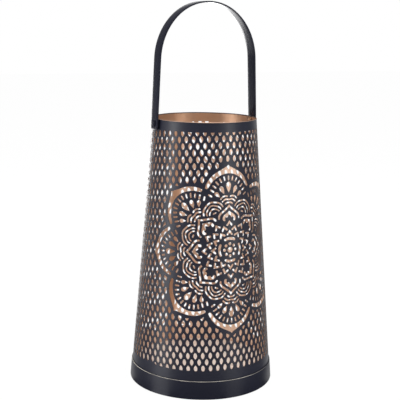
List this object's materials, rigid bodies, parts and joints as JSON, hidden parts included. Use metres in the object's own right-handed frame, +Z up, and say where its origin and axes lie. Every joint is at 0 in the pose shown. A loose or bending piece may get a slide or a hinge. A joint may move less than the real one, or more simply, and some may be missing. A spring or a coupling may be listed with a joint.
{
  "type": "candle lantern",
  "caption": "Tapered perforated metal candle lantern with a rosette cut in the front, a base hoop, a raised floor and a swinging flat strap handle.",
  "frame": {"origin": "on the table, under the middle of the base hoop", "axes": "+Z up, along the lantern's axis and its longest extent; the rosette faces -Y and the handle's pivot runs along X"},
  "size_m": [0.1606, 0.1606, 0.4178],
  "materials": {
    "shell_paint": "satin blue-black paint outside, copper-coloured metallic paint inside",
    "black_paint": "satin blue-black paint",
    "copper_paint": "satin copper-coloured metallic paint",
    "floor_paint": "satin pale copper metallic paint",
    "bare_steel": "plain zinc-plated steel"
  },
  "bodies": {
    "body": {"perforated_shell": "shell_paint", "base_hoop": "black_paint", "floor_plate": "floor_paint", "rivet_left": "black_paint", "rivet_right": "black_paint", "rivet_washer_left": "bare_steel", "rivet_washer_right": "bare_steel"},
    "handle": {"handle_strap": "black_paint"}
  },
  "joints": [
    {"name": "handle_swing", "type": "hinge", "parent": "body", "child": "handle", "pos_m": [0, 0, 0.289], "axis": [1, 0, 0], "range_deg": [-105, 105]}
  ]
}
